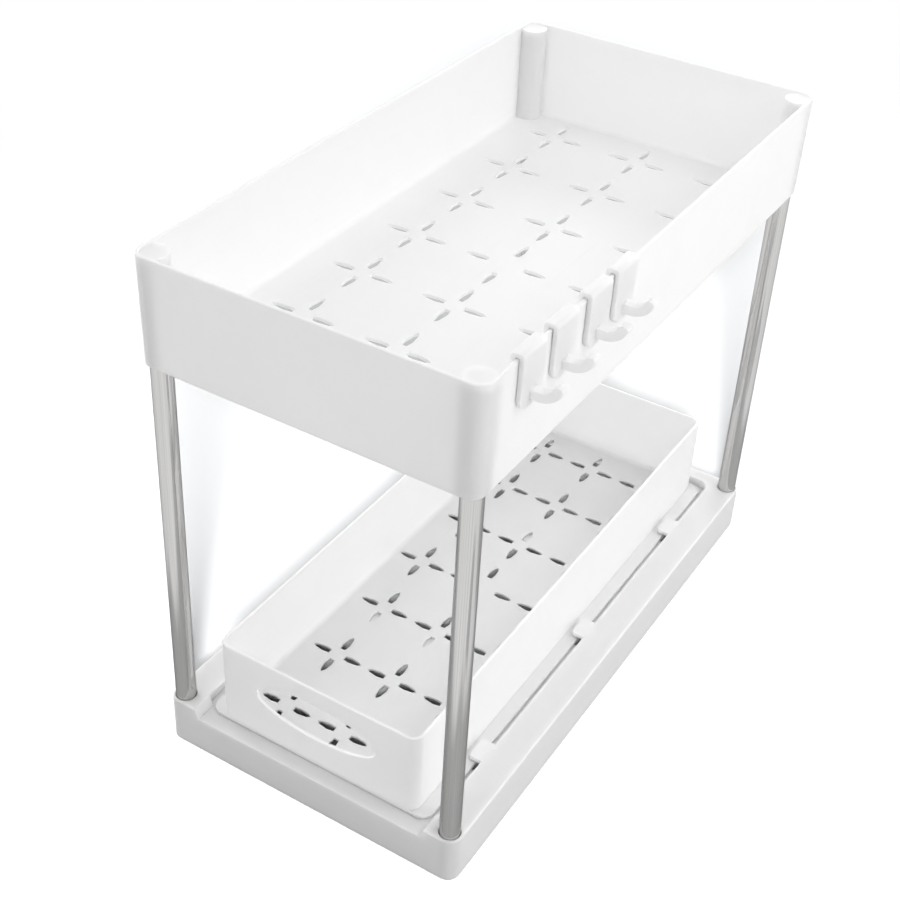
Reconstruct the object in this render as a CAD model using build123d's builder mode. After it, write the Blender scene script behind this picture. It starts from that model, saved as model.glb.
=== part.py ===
"""Two-tier organizer for the space under a sink: base, drawer, four posts, tray and hooks.

Millimetres, +Z up. The origin is the centre of the base's underside, the drawer pulls
out towards -Y, and the hooks hang on the tray's +X wall.
"""

from build123d import *
from math import radians, tan
import os

os.makedirs("parts", exist_ok=True)

# Base
base_width = 205.0
base_length = 400.0
base_height = 32.0
corner_radius = 8.0
wall = 2.0
edge_break = 0.7
overrun = 5.0

# Drawer pocket in the base
rail_width = 20.0
back_rail_width = 11.0
deck_drop = 6.8
pocket_radius = 8.0
lip_depth = 14.0
lip_bottom_gap = 0.8
lip_top_gap = 0.7

# Windows and ribs of the drawer deck
window_side_margin = 16.5
window_end_margin = 29.0
window_radius = 4.0
bar_width = 13.0
bar_spacing = 133.0
rib_height = 10.0

# Tabs that hold the drawer down
tab_reach = 9.0
tab_width = 16.0
tab_spacing = 128.0
tab_radius = 3.0
tab_clearance = 1.3
tab_hole_reach = 10.5
tab_hole_lead = 3.0

# Tubes
tube_diameter = 12.4
tube_wall = 0.6
socket_floor = 3.0
socket_clearance = 0.35
sleeve_clearance = 0.15
sleeve_cap = 3.0
clear_height = 240.3

# Top tray
tray_side_overhang = 0.4
tray_end_overhang = 1.5
tray_height = 66.0
tray_wall = 2.0
tray_floor = 2.0
tray_draft = 0.8
tray_corner_radius = 8.4
tray_inner_round = 3.0
tray_foot_break = 1.0
rim_break = 0.5
sleeve_wall = 2.15
cap_recess = 1.2

# Drawer
drawer_height = 60.0
drawer_wall = 2.0
drawer_floor = 1.8
drawer_corner_radius = 7.0
drawer_inner_round = 3.0
drawer_front_setback = 10.3
drawer_back_gap = 3.0
slide_gap = 0.3
flange_side_gap = 4.4
flange_reach = 8.6
flange_thickness = 2.2
flange_radius = 8.0
handle_width = 84.0
handle_height = 28.0
handle_drop = 25.5

# Stars pierced through the two floors
star_columns = 3
star_rows = 7
petals_in_star = 4
petal_blunt = 0.70
petal_belly = 0.35
petal_shoulder = 0.82
petal_taper = 0.62
tray_star_fill = 0.683
tray_petal_start = 6.0
tray_petal_width = 5.2
tray_star_side_margin = 38.9
tray_star_end_margin = 29.1
drawer_star_fill = 0.875
drawer_petal_start = 5.5
drawer_petal_width = 5.0
drawer_star_side_margin = 26.0
drawer_star_end_margin = 25.65
middle_star_spread = 6.0
drawer_middle_shift = 5.0

# Hooks
hook_width = 22.0
hook_thickness = 3.0
hook_gap = 0.1
hook_drop = 29.6
hook_inner_leg = 10.0
hook_corner_radius = 8.0
hook_leg_break = 2.0
hook_bend_radius = 2.6
peg_width = 6.0
peg_thickness = 5.4
peg_height = 7.4
peg_reach = 4.0
peg_bend_radius = 11.0
peg_turn = 78.0
peg_tip_break = 1.6
hook_1_setback = 40.0
hook_2_setback = 71.5
hook_3_setback = 106.0
hook_4_setback = 135.0

# Sizes that follow from the ones above
deck_top = base_height - deck_drop
pocket_width = base_width - 2 * rail_width
pocket_back = base_length / 2 - back_rail_width
window_width = pocket_width - 2 * window_side_margin
window_span = base_length - 2 * window_end_margin
post_x = base_width / 2 - corner_radius
post_y = base_length / 2 - corner_radius
socket_radius = tube_diameter / 2 + socket_clearance
sleeve_bore = tube_diameter / 2 + sleeve_clearance
sleeve_radius = sleeve_bore + sleeve_wall

tray_bottom = base_height + clear_height
tray_top = tray_bottom + tray_height
tray_width = base_width + 2 * tray_side_overhang
tray_length = base_length + 2 * tray_end_overhang
tray_slope = tan(radians(tray_draft))
cap_top = tray_top - cap_recess
tube_top = cap_top - sleeve_cap

drawer_bottom = deck_top + slide_gap
drawer_top = drawer_bottom + drawer_height
drawer_front = -base_length / 2 + drawer_front_setback
drawer_back = pocket_back - drawer_back_gap
drawer_length = drawer_back - drawer_front
drawer_centre = (drawer_front + drawer_back) / 2
flange_width = pocket_width - 2 * flange_side_gap
drawer_width = flange_width - 2 * flange_reach
tab_thickness = deck_drop - slide_gap - flange_thickness - tab_clearance


class Petal(BaseSketchObject):
    """Slot of one star along +X: blunt towards the star's centre, bellied, then pointed outwards."""

    def __init__(self, start, length, width, rotation=0, mode=Mode.ADD):
        side = width / 2
        flank = [
            (start, petal_blunt * side),
            (start + petal_belly * length, side),
            (start + petal_shoulder * length, petal_taper * side),
        ]
        other_flank = [(x, -y) for x, y in reversed(flank)]
        with BuildSketch(mode=Mode.PRIVATE) as slot:
            with BuildLine():
                Polyline(*flank, (start + length, 0), *other_flank, close=True)
            make_face()
        super().__init__(obj=slot.sketch, rotation=rotation, align=None, mode=mode)


class StarField(BaseSketchObject):
    """Grid of stars, each filling a share of the column pitch.

    The middle row has a wider star between side stars that are set further out.
    """

    def __init__(self, pitch_x, pitch_y, fill, start, width, side_shift, mode=Mode.ADD):
        length = fill * pitch_x / 2 - start
        rows_beside = (star_rows - 1) // 2
        rows_centre = (rows_beside + 1) / 2 * pitch_y
        with BuildSketch(mode=Mode.PRIVATE) as field:
            with Locations((0, -rows_centre), (0, rows_centre)):
                with GridLocations(pitch_x, pitch_y, star_columns, rows_beside):
                    with PolarLocations(0, petals_in_star):
                        Petal(start, length, width)
            with GridLocations(2 * (pitch_x + side_shift), 0, 2, 1):
                with PolarLocations(0, petals_in_star):
                    Petal(start, length, width)
            with PolarLocations(0, petals_in_star):
                Petal(start + middle_star_spread, length, width)
        super().__init__(obj=field.sketch, align=None, mode=mode)


# Base: a skirted frame, open underneath
with BuildPart() as base:
    with BuildSketch():
        RectangleRounded(base_width, base_length, corner_radius)
    extrude(amount=base_height)
    chamfer(base.faces().sort_by(Axis.Z)[-1].outer_wire().edges(), length=edge_break)

    # Pocket for the drawer, closed at the back and stepped down to the deck
    lip_back = -base_length / 2 + lip_depth
    pocket_length = pocket_back - lip_back
    with BuildSketch(Plane.XY.offset(deck_top)) as pocket:
        with Locations((0, pocket_back - pocket_length / 2)):
            Rectangle(pocket_width, pocket_length)
        fillet(pocket.vertices().group_by(Axis.Y)[-1], radius=pocket_radius)
    extrude(amount=deck_drop + overrun, mode=Mode.SUBTRACT)

    # The pocket's mouth, between sloped shoulders
    lip_bottom = flange_width / 2 + lip_bottom_gap
    lip_top = pocket_width / 2 - lip_top_gap
    with BuildSketch(Plane.XZ.offset(base_length / 2 - lip_depth)):
        with BuildLine():
            Polyline(
                (-lip_bottom, deck_top),
                (lip_bottom, deck_top),
                (lip_top, base_height),
                (-lip_top, base_height),
                close=True,
            )
        make_face()
    extrude(amount=lip_depth + overrun, mode=Mode.SUBTRACT)

    # Hollow underside, under the deck and up inside the rails
    with BuildSketch():
        RectangleRounded(base_width - 2 * wall, base_length - 2 * wall, corner_radius - wall)
    extrude(amount=deck_top - wall, mode=Mode.SUBTRACT)
    with BuildSketch(Plane.XY.offset(deck_top - wall)):
        RectangleRounded(base_width - 2 * wall, base_length - 2 * wall, corner_radius - wall)
        with Locations((0, -base_length / 2 + (base_length / 2 + pocket_back + wall) / 2)):
            Rectangle(pocket_width + 2 * wall, base_length / 2 + pocket_back + wall, mode=Mode.SUBTRACT)
    extrude(amount=deck_drop, mode=Mode.SUBTRACT)

    # Windows of the deck, between its two cross bars
    with BuildSketch(Plane.XY.offset(deck_top)) as windows:
        Rectangle(window_width, window_span)
        with GridLocations(0, bar_spacing, 1, 2):
            Rectangle(window_width, bar_width, mode=Mode.SUBTRACT)
        fillet(windows.vertices(), radius=window_radius)
    extrude(amount=-wall, mode=Mode.SUBTRACT)

    # Ribs under the edges of the cross bars
    with BuildSketch(Plane.XY.offset(deck_top - wall)):
        for bar in (-bar_spacing / 2, bar_spacing / 2):
            with Locations((0, bar)):
                with GridLocations(0, bar_width - wall, 1, 2):
                    Rectangle(pocket_width + wall, wall)
    extrude(amount=-rib_height)

    # Stiffening walls that carry the rails' inner sides down to the floor
    with BuildSketch():
        with GridLocations(pocket_width + wall, 0, 2, 1):
            Rectangle(wall, base_length - wall)
    extrude(amount=deck_top - wall / 2)

    # Tabs over the drawer's flange, each with the hole that cores it out of the deck
    with BuildSketch(Plane.XY.offset(base_height - tab_thickness)) as tabs:
        tab_length = tab_reach + wall
        with Locations((0, drawer_centre)):
            with GridLocations(pocket_width - tab_reach + wall, tab_spacing, 2, 3):
                Rectangle(tab_length, tab_width)
        tab_tips = tabs.vertices().filter_by(lambda corner: abs(corner.X) < pocket_width / 2)
        fillet(tab_tips, radius=tab_radius)
    extrude(amount=tab_thickness)
    with BuildSketch(Plane.XY.offset(deck_top)):
        with Locations((0, drawer_centre - tab_hole_lead / 2)):
            with GridLocations(pocket_width - tab_hole_reach, tab_spacing, 2, 3):
                Rectangle(tab_hole_reach, tab_width + tab_hole_lead)
    extrude(amount=-wall, mode=Mode.SUBTRACT)

    # Bosses in the corners, with the blind sockets for the tubes
    with BuildSketch():
        with GridLocations(2 * post_x, 2 * post_y, 2, 2):
            Circle(corner_radius)
    extrude(amount=base_height - wall)
    with BuildSketch(Plane.XY.offset(socket_floor)):
        with GridLocations(2 * post_x, 2 * post_y, 2, 2):
            Circle(socket_radius)
    extrude(amount=base_height, mode=Mode.SUBTRACT)

base.part.label = "base"
export_step(base.part, "parts/base.step")

# Tubes: four thin-walled posts from the sockets up into the tray's sleeves
tube_places = {
    "tube_front_left": (-post_x, -post_y),
    "tube_front_right": (post_x, -post_y),
    "tube_back_left": (-post_x, post_y),
    "tube_back_right": (post_x, post_y),
}
for tube_name, tube_place in tube_places.items():
    with BuildPart() as tube:
        with BuildSketch(Plane.XY.offset(socket_floor)):
            with Locations(tube_place):
                Circle(tube_diameter / 2)
                Circle(tube_diameter / 2 - tube_wall, mode=Mode.SUBTRACT)
        extrude(amount=tube_top - socket_floor)
    tube.part.label = tube_name
    export_step(tube.part, f"parts/{tube_name}.step")

# Space inside the tray: it widens with the draft and leaves the corner sleeves standing
tray_cavity_depth = tray_height - tray_floor
tray_cavity_narrowing = 2 * (tray_wall + tray_cavity_depth * tray_slope)
tray_inner_radius = tray_corner_radius - tray_wall - tray_cavity_depth * tray_slope
with BuildPart() as tray_space:
    with BuildSketch(Plane.XY.offset(tray_bottom + tray_floor)):
        RectangleRounded(
            tray_width - tray_cavity_narrowing,
            tray_length - tray_cavity_narrowing,
            tray_inner_radius,
        )
    extrude(amount=tray_cavity_depth, taper=-tray_draft)
    fillet(tray_space.faces().sort_by(Axis.Z)[0].edges(), radius=tray_inner_round)
    with BuildSketch(Plane.XY.offset(tray_bottom)):
        with GridLocations(2 * post_x, 2 * post_y, 2, 2):
            Circle(sleeve_radius)
    extrude(amount=cap_top - tray_bottom, mode=Mode.SUBTRACT)

# Top tray
tray_narrowing = 2 * tray_height * tray_slope
with BuildPart() as top_tray:
    with BuildSketch(Plane.XY.offset(tray_bottom)):
        RectangleRounded(
            tray_width - tray_narrowing,
            tray_length - tray_narrowing,
            tray_corner_radius - tray_narrowing / 2,
        )
    extrude(amount=tray_height, taper=-tray_draft)
    chamfer(top_tray.faces().sort_by(Axis.Z)[0].edges(), length=tray_foot_break)
    add(tray_space.part, mode=Mode.SUBTRACT)
    chamfer(top_tray.faces().sort_by(Axis.Z)[-1].edges(), length=rim_break)

    # Sleeves that the tubes push into, closed at the top
    with BuildSketch(Plane.XY.offset(tray_bottom)):
        with GridLocations(2 * post_x, 2 * post_y, 2, 2):
            Circle(sleeve_bore)
    extrude(amount=tube_top - tray_bottom, mode=Mode.SUBTRACT)

    # Stars in the floor
    tray_pitch_x = (tray_width - 2 * tray_star_side_margin - 2 * tray_wall) / (star_columns - 1)
    tray_pitch_y = (tray_length - 2 * tray_star_end_margin - 2 * tray_wall) / (star_rows - 1)
    with BuildSketch(Plane.XY.offset(tray_bottom)):
        StarField(tray_pitch_x, tray_pitch_y, tray_star_fill, tray_petal_start, tray_petal_width, 0)
    extrude(amount=tray_floor, mode=Mode.SUBTRACT)

top_tray.part.label = "top_tray"
export_step(top_tray.part, "parts/top_tray.step")

# Space inside the drawer
with BuildPart() as drawer_space:
    with BuildSketch(Plane.XY.offset(drawer_bottom + drawer_floor)):
        with Locations((0, drawer_centre)):
            RectangleRounded(
                drawer_width - 2 * drawer_wall,
                drawer_length - 2 * drawer_wall,
                drawer_corner_radius - drawer_wall,
            )
    extrude(amount=drawer_height - drawer_floor)
    fillet(drawer_space.faces().sort_by(Axis.Z)[0].edges(), radius=drawer_inner_round)

# Drawer
with BuildPart() as drawer:
    with BuildSketch(Plane.XY.offset(drawer_bottom)):
        with Locations((0, drawer_centre)):
            RectangleRounded(drawer_width, drawer_length, drawer_corner_radius)
    extrude(amount=drawer_height)

    # Flange along the foot, which runs under the base's tabs
    with BuildSketch(Plane.XY.offset(drawer_bottom)):
        with Locations((0, drawer_centre)):
            RectangleRounded(flange_width, drawer_length, flange_radius)
    extrude(amount=flange_thickness)

    add(drawer_space.part, mode=Mode.SUBTRACT)
    chamfer(drawer.faces().sort_by(Axis.Z)[-1].edges(), length=rim_break)

    # Elliptical hole that serves as the handle
    with BuildSketch(Plane.XZ.offset(-drawer_front)):
        with Locations((0, drawer_top - handle_drop)):
            Ellipse(handle_width / 2, handle_height / 2)
    extrude(amount=-drawer_wall, mode=Mode.SUBTRACT)

    # Stars in the floor
    drawer_pitch_x = (drawer_width - 2 * drawer_star_side_margin - 2 * drawer_wall) / (star_columns - 1)
    drawer_pitch_y = (drawer_length - 2 * drawer_star_end_margin - 2 * drawer_wall) / (star_rows - 1)
    with BuildSketch(Plane.XY.offset(drawer_bottom)):
        with Locations((0, drawer_centre)):
            StarField(
                drawer_pitch_x,
                drawer_pitch_y,
                drawer_star_fill,
                drawer_petal_start,
                drawer_petal_width,
                drawer_middle_shift,
            )
    extrude(amount=drawer_floor, mode=Mode.SUBTRACT)

drawer.part.label = "drawer"
export_step(drawer.part, "parts/drawer.step")

# Hooks: a strap bent over the tray's rim, with an upturned peg
strap_inner = tray_width / 2 + hook_gap
strap_outer = strap_inner + hook_thickness
strap_top = tray_top + hook_gap + hook_thickness
slot_inner = tray_width / 2 - tray_wall - hook_gap
leg_inner = slot_inner - hook_thickness
strap_lean = hook_drop * tray_slope
leg_lean = hook_inner_leg * tray_slope
peg_z = tray_top - hook_drop + peg_height
hook_setbacks = [hook_1_setback, hook_2_setback, hook_3_setback, hook_4_setback]
for number, setback in enumerate(hook_setbacks, start=1):
    hook_y = setback - tray_length / 2
    with BuildPart() as hook:
        # Strap: down the outside of the leaning wall, over the rim and a short leg inside
        with BuildSketch(Plane.XZ.offset(-hook_y)) as strap:
            with BuildLine():
                Polyline(
                    (strap_outer - strap_lean, tray_top - hook_drop),
                    (strap_outer, strap_top),
                    (leg_inner, strap_top),
                    (leg_inner - leg_lean, tray_top - hook_inner_leg),
                    (slot_inner - leg_lean, tray_top - hook_inner_leg),
                    (slot_inner, tray_top + hook_gap),
                    (strap_inner, tray_top + hook_gap),
                    (strap_inner - strap_lean, tray_top - hook_drop),
                    close=True,
                )
            make_face()
            fillet(strap.vertices().group_by(Axis.Y)[-1], radius=hook_bend_radius)
        extrude(amount=hook_width / 2, both=True)

        # Rounded lower corners of the inner leg, then of the strap
        chamfer(hook.edges().filter_by(Axis.X).group_by(Axis.Z)[1], length=hook_leg_break)
        fillet(hook.edges().filter_by(Axis.X).group_by(Axis.Z)[0], radius=hook_corner_radius)

        # Peg: straight out of the strap, then turned up to a blunt tip
        with BuildSketch(Plane.XZ.offset(-hook_y)) as peg:
            with BuildLine() as peg_line:
                stem = Line((strap_inner + hook_thickness / 2, peg_z), (strap_outer + peg_reach, peg_z))
                JernArc(start=stem @ 1, tangent=stem % 1, radius=peg_bend_radius, arc_size=peg_turn)
            trace(line_width=peg_thickness)
            chamfer(peg.vertices().sort_by_distance(peg_line.wire() @ 1)[:2], length=peg_tip_break)
        extrude(amount=peg_width / 2, both=True)
    hook.part.label = f"hook_{number}"
    export_step(hook.part, f"parts/hook_{number}.step")
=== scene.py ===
"""Looks of the under sink organizer: moulded white plastic, drawn steel tubes, studio and camera.

Metres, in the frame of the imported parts: +Z up, the drawer pulls out towards -Y and the
hooks hang on the +X side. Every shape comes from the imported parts, and only the hooks'
edges are softened here.
"""

from math import cos, radians, sin

import bpy
from mathutils import Matrix, Vector


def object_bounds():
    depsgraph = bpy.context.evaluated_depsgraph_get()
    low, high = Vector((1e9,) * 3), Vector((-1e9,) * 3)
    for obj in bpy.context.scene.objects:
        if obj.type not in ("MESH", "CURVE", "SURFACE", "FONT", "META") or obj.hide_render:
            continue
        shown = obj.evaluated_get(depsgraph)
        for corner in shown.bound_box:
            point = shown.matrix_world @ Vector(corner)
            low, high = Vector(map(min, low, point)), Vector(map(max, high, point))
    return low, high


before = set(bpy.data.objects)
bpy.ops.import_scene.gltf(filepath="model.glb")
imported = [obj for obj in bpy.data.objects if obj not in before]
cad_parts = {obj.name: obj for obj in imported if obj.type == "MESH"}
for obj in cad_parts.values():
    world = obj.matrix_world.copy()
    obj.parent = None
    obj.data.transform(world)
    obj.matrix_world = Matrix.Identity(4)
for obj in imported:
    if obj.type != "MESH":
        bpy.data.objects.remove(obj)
cad_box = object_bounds()

# Axes
along_x, along_y, along_z = 0, 1, 2

# White plastic
base_white = (0.965, 0.965, 0.97)
drawer_white = (0.95, 0.95, 0.95)
tray_white = (0.95, 0.95, 0.95)
hook_white = (0.955, 0.955, 0.955)
plastic_roughness = 0.42
plastic_roughness_swing = 0.05
plastic_ior = 1.49
plastic_depth = 0.004

# Ripple and blotches of the plastic; a range gives the noise values between which it changes
ripple_size = 0.045
ripple_depth = 0.00012
blotch_detail = 2.0
blotch_tone = 0.975
blotch_tone_range = (0.35, 0.65)
blotch_gloss_range = (0.3, 0.7)

# Grain of the mould
grain_size = 0.0009
grain_depth = 0.00002
grain_detail = 3.0

# Scuffs along the way that things slide
scuff_width = 0.0016
scuff_length = 0.060
scuff_detail = 4.0
scuff_range = (0.62, 0.74)
scuff_strength = 0.4
scuff_tone = 0.94
scuff_dullness = 0.12

# Soft edges of the hooks, with angles in degrees
hook_edge_radius = 0.0008
hook_edge_angle = 35.0
hook_edge_steps = 3
weld_reach = 0.00001
flat_angle = 0.5

# Steel, with fine lines from drawing the tube and a haze in patches
steel_colour = (0.65, 0.645, 0.64)
steel_shade = (0.56, 0.555, 0.55)
steel_edge = (0.50, 0.50, 0.50)
line_width = 0.0005
line_length = 0.12
line_depth = 0.000004
line_detail = 3.0
line_range = (0.3, 0.7)
line_roughness = (0.06, 0.11)
haze_range = (0.4, 0.7)
haze_roughness = 0.05

# Light from the sky, at the horizon and overhead
sky_low = 0.0
sky_high = 0.58
white_light = (1.0, 1.0, 1.0, 1.0)

# Floor
floor_size = 12.0
floor_drop = 0.0002
bounce_floor_drop = 2 * floor_drop
floor_seen_colour = (0.50, 0.506, 0.512)
floor_bounce = 0.62
# Grey of the floor that only the steel sees, darker than floor_bounce: painted shade in the tubes' reflection
floor_mirrored = 0.56

# Part of the seen floor that keeps the shadow, and the fade to white around it
shadow_centre = (-0.17, 0.32)
shadow_half = (0.28, 0.54)
shadow_fade = 0.35

# Floor as the steel mirrors it: white, but grey near the base and on two patches at its side, which is
# painted shadow; near the base the grey floor also keeps the object's real shadow
plain_margin = 0.08
plain_fade = 0.06
# Two grey patches at the base's side, on the floor that only the steel sees: painted shadow for the tubes to
# mirror
painted_shadow_places = [(0.33, -0.24), (0.32, 0.03)]
painted_shadow_halves = [(0.05, 0.035), (0.05, 0.06)]
painted_shadow_fade = 0.03

# Lamps
lamp_aim = (0.0, 0.0, 0.15)
low_lamp_aim = (0.0, 0.0, 0.10)
wide_panel = (2.4, 1.4)
square_panel = (1.2, 1.2)
small_panel = (0.9, 0.9)
low_panel = (1.0, 0.3)
shadow_lamp_aim = (0.0, 0.0, 0.30)
shadow_lamp_distance = 1.3
shadow_lamp_radius = 0.10
shadow_lamp_power = 92.0

# Camera
camera_place = (0.36988, -0.68956, 0.71234)
camera_aim = (-0.02667, 0.00578, 0.150)
camera_roll = 0.0597
camera_lens = 61.385
camera_shift = (-0.01267, -0.0341)
camera_sensor = 36.0
camera_near, camera_far = 0.01, 50.0


def new_material(name):
    """A material with an empty node tree, and that tree."""
    material = bpy.data.materials.new(name)
    material.use_nodes = True
    tree = material.node_tree
    tree.nodes.clear()
    return material, tree


def add_node(tree, kind, settings=None, **inputs):
    """A node with its settings, whose inputs are numbers or the sockets they are linked to.

    An input is given by its name, or by its number after an underscore.
    """
    made = tree.nodes.new(kind)
    for key, value in (settings or {}).items():
        setattr(made, key, value)
    for key, value in inputs.items():
        number = key[1:]
        socket = made.inputs[int(number) if number.isdigit() else key.replace("_", " ")]
        if isinstance(value, bpy.types.NodeSocket):
            tree.links.new(value, socket)
        else:
            socket.default_value = value
    return made


def calculate(tree, operation, *values):
    """The result of one operation of arithmetic."""
    inputs = {f"_{number}": value for number, value in enumerate(values)}
    return add_node(tree, "ShaderNodeMath", {"operation": operation}, **inputs).outputs[0]


def object_point(tree):
    """The place on the piece, in metres."""
    return add_node(tree, "ShaderNodeTexCoord").outputs["Object"]


def blotchy_noise(tree, point, size, detail):
    """Noise whose blotches are as long as they are wide."""
    return stretched_noise(tree, point, size, size, along_x, detail)


def stretched_noise(tree, point, width, length, axis, detail):
    """Noise whose blotches are width across and length long along one axis."""
    scale = [1 / width] * 3
    scale[axis] = 1 / length
    mapping = add_node(tree, "ShaderNodeMapping", Vector=point, Scale=scale)
    noise = add_node(tree, "ShaderNodeTexNoise", Vector=mapping.outputs[0], Scale=1.0, Detail=detail)
    return noise.outputs["Fac"]


def remap(tree, value, source, target=(0.0, 1.0)):
    """The value within the source range, spread over the target range."""
    made = add_node(tree, "ShaderNodeMapRange", Value=value)
    for number, limit in enumerate((*source, *target), start=1):
        made.inputs[number].default_value = limit
    return made.outputs[0]


def mixed_colour(tree, share, first, second):
    """The first colour where share is zero, the second where it is one."""
    made = add_node(tree, "ShaderNodeMix", {"data_type": "RGBA"}, _0=share, _6=first, _7=second)
    return made.outputs[2]


def bump(tree, height, depth, **under):
    """A surface that the height raises by up to depth, over the one under it."""
    return add_node(tree, "ShaderNodeBump", Strength=1.0, Distance=depth, Height=height, **under).outputs[0]


def shade(colour, tone=1.0):
    """The colour as a node takes it, darkened to a tone below one."""
    return (*(part * tone for part in colour), 1.0)


def plastic(name, colour, scuff_axis):
    """Moulded white plastic: faint blotches, a fine grain, a soft ripple and light scuffs along one axis."""
    material, tree = new_material(name)
    point = object_point(tree)
    blotches = blotchy_noise(tree, point, ripple_size, blotch_detail)
    grain = blotchy_noise(tree, point, grain_size, grain_detail)
    scuffs = stretched_noise(tree, point, scuff_width, scuff_length, scuff_axis, scuff_detail)
    scuffed = remap(tree, scuffs, scuff_range)

    # Colour: a shade darker in the blotches and along the scuffs
    blotched = remap(tree, blotches, blotch_tone_range)
    tone = mixed_colour(tree, blotched, shade(colour), shade(colour, blotch_tone))
    wear = calculate(tree, "MULTIPLY", scuffed, scuff_strength)
    tone = mixed_colour(tree, wear, tone, shade(colour, scuff_tone))

    # Gloss: uneven, and duller on the scuffs
    roughness = (plastic_roughness - plastic_roughness_swing, plastic_roughness + plastic_roughness_swing)
    patchy = remap(tree, blotches, blotch_gloss_range, roughness)
    dull = calculate(tree, "MULTIPLY_ADD", scuffed, scuff_dullness, patchy)

    # Surface: the mould's grain over a soft ripple
    ripple = bump(tree, blotches, ripple_depth)
    relief = bump(tree, grain, grain_depth, Normal=ripple)

    surface = add_node(
        tree,
        "ShaderNodeBsdfPrincipled",
        Base_Color=tone,
        Roughness=dull,
        IOR=plastic_ior,
        Subsurface_Weight=1.0,
        Subsurface_Radius=(1.0, 1.0, 1.0),
        Subsurface_Scale=plastic_depth,
        Normal=relief,
    )
    add_node(tree, "ShaderNodeOutputMaterial", Surface=surface.outputs[0])
    return material


def steel(name):
    """Polished drawn steel, with fine lines along the tube."""
    material, tree = new_material(name)
    point = object_point(tree)
    lines = stretched_noise(tree, point, line_width, line_length, along_z, line_detail)
    patches = blotchy_noise(tree, point, ripple_size, blotch_detail)

    tone = mixed_colour(tree, remap(tree, lines, line_range), shade(steel_colour), shade(steel_shade))
    drawn = remap(tree, lines, line_range, line_roughness)
    hazy = remap(tree, patches, haze_range, (0.0, haze_roughness))

    surface = add_node(
        tree,
        "ShaderNodeBsdfPrincipled",
        Base_Color=tone,
        Roughness=calculate(tree, "ADD", drawn, hazy),
        Metallic=1.0,
        Specular_Tint=shade(steel_edge),
        Normal=bump(tree, lines, line_depth),
    )
    add_node(tree, "ShaderNodeOutputMaterial", Surface=surface.outputs[0])
    return material


def soften(node, radius):
    """Rounds a piece's sharp edges, after its coplanar triangles are joined to whole faces."""
    welded = node.modifiers.new("weld", "WELD")
    welded.merge_threshold = weld_reach
    flat = node.modifiers.new("flat faces", "DECIMATE")
    flat.decimate_type = "DISSOLVE"
    flat.angle_limit = radians(flat_angle)
    bevel = node.modifiers.new("soft edges", "BEVEL")
    bevel.width = radius
    bevel.segments = hook_edge_steps
    bevel.limit_method = "ANGLE"
    bevel.angle_limit = radians(hook_edge_angle)
    bevel.harden_normals = True


def finish_pieces():
    """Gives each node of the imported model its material, and the hooks their soft edges."""
    finishes = {
        "base": plastic("base_plastic", base_white, along_y),
        "drawer": plastic("drawer_plastic", drawer_white, along_y),
        "top_tray": plastic("tray_plastic", tray_white, along_y),
        "hook": plastic("hook_plastic", hook_white, along_z),
        "tube": steel("tube_steel"),
    }
    for node_name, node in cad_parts.items():
        kind = next(key for key in finishes if node_name.startswith(key))
        node.data.materials.clear()
        node.data.materials.append(finishes[kind])
        if kind == "hook":
            soften(node, hook_edge_radius)


def mirrored_ray(tree, rays):
    """One for a ray that comes from gloss or glass, else zero."""
    return calculate(tree, "MAXIMUM", rays.outputs["Is Glossy Ray"], rays.outputs["Is Transmission Ray"])


def clear_of(tree, point, centre, half, fade):
    """Rises from zero on a rectangle of the floor to one at fade away from it."""
    split = add_node(tree, "ShaderNodeSeparateXYZ", Vector=point)
    beyond = []
    for axis in (along_x, along_y):
        offset = calculate(tree, "SUBTRACT", split.outputs[axis], centre[axis])
        reach = calculate(tree, "ABSOLUTE", offset)
        beyond.append(remap(tree, reach, (half[axis], half[axis] + fade)))
    away = add_node(tree, "ShaderNodeCombineXYZ", X=beyond[0], Y=beyond[1]).outputs[0]
    length = add_node(tree, "ShaderNodeVectorMath", {"operation": "LENGTH"}, _0=away).outputs["Value"]
    return add_node(tree, "ShaderNodeMapRange", {"interpolation_type": "SMOOTHSTEP"}, Value=length).outputs[0]


def partly_white(tree, share, colour):
    """A plain surface of one colour where share is zero, shining white where it is one."""
    lit = add_node(tree, "ShaderNodeBsdfDiffuse", Color=colour)
    white = add_node(tree, "ShaderNodeEmission", Color=white_light, Strength=1.0)
    mixed = add_node(tree, "ShaderNodeMixShader", _0=share, _1=lit.outputs[0], _2=white.outputs[0])
    add_node(tree, "ShaderNodeOutputMaterial", Surface=mixed.outputs[0])


def floor_sheet(name, material, drop):
    """A wide square just under the object, which casts no shadow itself."""
    half = floor_size / 2
    mesh = bpy.data.meshes.new(name)
    corners = [(-half, -half), (half, -half), (half, half), (-half, half)]
    mesh.from_pydata([(x, y, -drop) for x, y in corners], [], [(0, 1, 2, 3)])
    mesh.materials.append(material)
    sheet = bpy.data.objects.new(name, mesh)
    bpy.context.scene.collection.objects.link(sheet)
    sheet.visible_shadow = False
    return sheet


def seen_floor():
    """The floor in the picture: white all round, with the object's shadow left on it."""
    material, tree = new_material("floor_seen")
    off_shadow = clear_of(tree, object_point(tree), shadow_centre, shadow_half, shadow_fade)
    partly_white(tree, off_shadow, shade(floor_seen_colour))
    sheet = floor_sheet("floor", material, floor_drop)
    sheet.visible_diffuse = False
    sheet.visible_glossy = False
    sheet.visible_transmission = False
    return sheet


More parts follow.
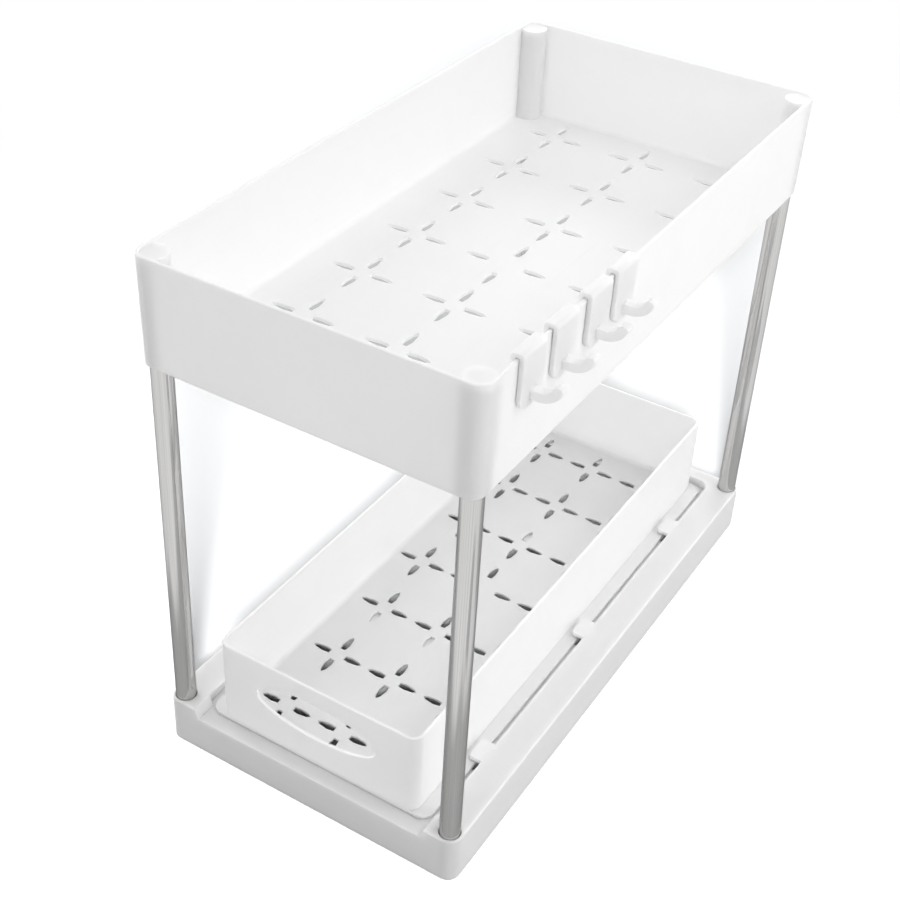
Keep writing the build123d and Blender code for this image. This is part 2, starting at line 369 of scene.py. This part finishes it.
def bounce_floor():
    """The floor as light and steel meet it, unseen by the camera: it lights the object from below. The steel
    sees it white, but grey near the base and on two patches at its side: painted shadow, with the real shadow
    near the base in it too.
    """
    material, tree = new_material("floor_unseen")
    point = object_point(tree)
    mirrored = mirrored_ray(tree, add_node(tree, "ShaderNodeLightPath"))
    # Near the base the steel sees the lit grey floor: its real shadow, darkened further as painted shadow
    base_half = (cad_box[1].x + plain_margin, cad_box[1].y + plain_margin)
    white_share = clear_of(tree, point, (0.0, 0.0), base_half, plain_fade)
    # Grey patches beside the base for the steel to mirror: painted shadow
    for place, half in zip(painted_shadow_places, painted_shadow_halves):
        off_painted_shadow = clear_of(tree, point, place, half, painted_shadow_fade)
        white_share = calculate(tree, "MULTIPLY", white_share, off_painted_shadow)
    share = calculate(tree, "MULTIPLY", mirrored, white_share)
    partly_white(tree, share, remap(tree, mirrored, (0.0, 1.0), (floor_bounce, floor_mirrored)))
    sheet = floor_sheet("floor_bounce", material, bounce_floor_drop)
    sheet.visible_camera = False


def studio_world():
    """Soft light from above, in front of a white backdrop."""
    world = bpy.data.worlds.new("studio")
    world.use_nodes = True
    tree = world.node_tree
    tree.nodes.clear()
    direction = add_node(tree, "ShaderNodeTexCoord").outputs["Generated"]
    height = add_node(tree, "ShaderNodeSeparateXYZ", Vector=direction).outputs["Z"]
    strength = remap(tree, height, (0.0, 1.0), (sky_low, sky_high))
    soft = add_node(tree, "ShaderNodeBackground", Color=white_light, Strength=strength)
    white = add_node(tree, "ShaderNodeBackground", Color=white_light, Strength=1.0)
    rays = add_node(tree, "ShaderNodeLightPath")
    share = calculate(tree, "MAXIMUM", rays.outputs["Is Camera Ray"], mirrored_ray(tree, rays))
    mixed = add_node(tree, "ShaderNodeMixShader", _0=share, _1=soft.outputs[0], _2=white.outputs[0])
    add_node(tree, "ShaderNodeOutputWorld", Surface=mixed.outputs[0])
    bpy.context.scene.world = world


def softbox(name, place, panel, power, aim=lamp_aim):
    """A rectangular lamp at place, facing aim."""
    data = bpy.data.lights.new(name, "AREA")
    data.shape = "RECTANGLE"
    data.size, data.size_y = panel
    data.energy = power
    lamp = bpy.data.objects.new(name, data)
    lamp.location = place
    lamp.rotation_mode = "QUATERNION"
    lamp.rotation_quaternion = (Vector(aim) - Vector(place)).to_track_quat("-Z", "Y")
    bpy.context.scene.collection.objects.link(lamp)


def shadow_lamp(floor):
    """A lamp behind the camera that lights the floor alone, so the object's shadow falls behind it."""
    data = bpy.data.lights.new("shadow_lamp", "POINT")
    data.shadow_soft_size = shadow_lamp_radius
    data.energy = shadow_lamp_power
    data.use_nodes = True
    tree = data.node_tree
    tree.nodes.clear()
    even = add_node(tree, "ShaderNodeLightFalloff", Strength=1.0).outputs["Constant"]
    glow = add_node(tree, "ShaderNodeEmission", Strength=even)
    add_node(tree, "ShaderNodeOutputLight", Surface=glow.outputs[0])
    lamp = bpy.data.objects.new("shadow_lamp", data)
    aim = Vector(shadow_lamp_aim)
    lamp.location = aim + shadow_lamp_distance * (Vector(camera_place) - aim).normalized()
    bpy.context.scene.collection.objects.link(lamp)
    only_floor = bpy.data.collections.new("only_floor")
    only_floor.objects.link(floor)
    lamp.light_linking.receiver_collection = only_floor


def studio_lamps():
    """Soft lamps all round, the strongest behind, on the left and on the right."""
    softbox("key", (0.9, 0.7, 1.5), small_panel, 3.8)
    softbox("left_high", (-1.3, 0.2, 1.5), square_panel, 6.2)
    softbox("right_high", (1.5, -0.1, 1.4), square_panel, 10.4)
    softbox("right_low", (0.75, 0.0, 0.15), low_panel, 1.2, aim=low_lamp_aim)
    softbox("back", (0.0, 2.0, 0.8), wide_panel, 22.2)
    softbox("left", (-2.0, 0.0, 0.8), wide_panel, 20.0)
    softbox("front", (0.0, -2.2, 1.0), wide_panel, 11.5)


def photo_camera():
    """The camera at the photograph's place, a little rolled."""
    place = Vector(camera_place)
    forward = (Vector(camera_aim) - place).normalized()
    level = forward.cross(Vector((0, 0, 1))).normalized()
    upright = level.cross(forward)
    right = cos(camera_roll) * level + sin(camera_roll) * upright
    up = cos(camera_roll) * upright - sin(camera_roll) * level
    data = bpy.data.cameras.new("camera")
    data.sensor_width = camera_sensor
    data.lens = camera_lens
    data.shift_x, data.shift_y = camera_shift
    data.clip_start, data.clip_end = camera_near, camera_far
    camera = bpy.data.objects.new("camera", data)
    turn = Matrix((right, up, -forward)).transposed().to_4x4()
    camera.matrix_world = Matrix.Translation(place) @ turn
    bpy.context.scene.collection.objects.link(camera)
    bpy.context.scene.camera = camera


finish_pieces()
shadow_lamp(seen_floor())
bounce_floor()
studio_world()
studio_lamps()
photo_camera()
bpy.context.scene.view_settings.view_transform = "Standard"
